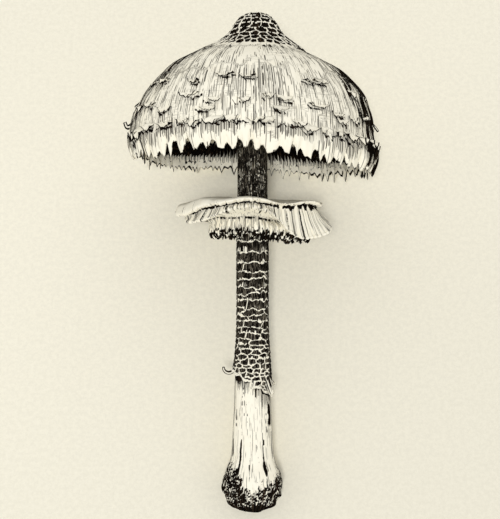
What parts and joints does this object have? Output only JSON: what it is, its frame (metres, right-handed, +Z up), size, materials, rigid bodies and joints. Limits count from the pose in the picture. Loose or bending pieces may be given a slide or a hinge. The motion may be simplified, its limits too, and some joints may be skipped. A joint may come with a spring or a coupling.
{
  "type": "parasol mushroom",
  "caption": "Half-open parasol mushroom with a shaggy scaled bell cap, radiating gills, a loose double ring and a scaly bulbous stem, picked and lying on its side.",
  "frame": {"origin": "on the surface that the mushroom lies on, under the middle of its bounding box", "axes": "+Y from the bulb towards the top of the cap, +Z up, and +X to the right of the mushroom seen from above with its cap away from the viewer"},
  "size_m": [0.1276, 0.2416, 0.1219],
  "materials": {
    "cap_skin": "matte",
    "gill_flesh": "matte",
    "ring_tissue": "matte",
    "stem_skin": "matte"
  },
  "bodies": {
    "root": {"cap": "cap_skin", "gills": "gill_flesh", "ring": "ring_tissue", "stem": "stem_skin"}
  },
  "joints": []
}
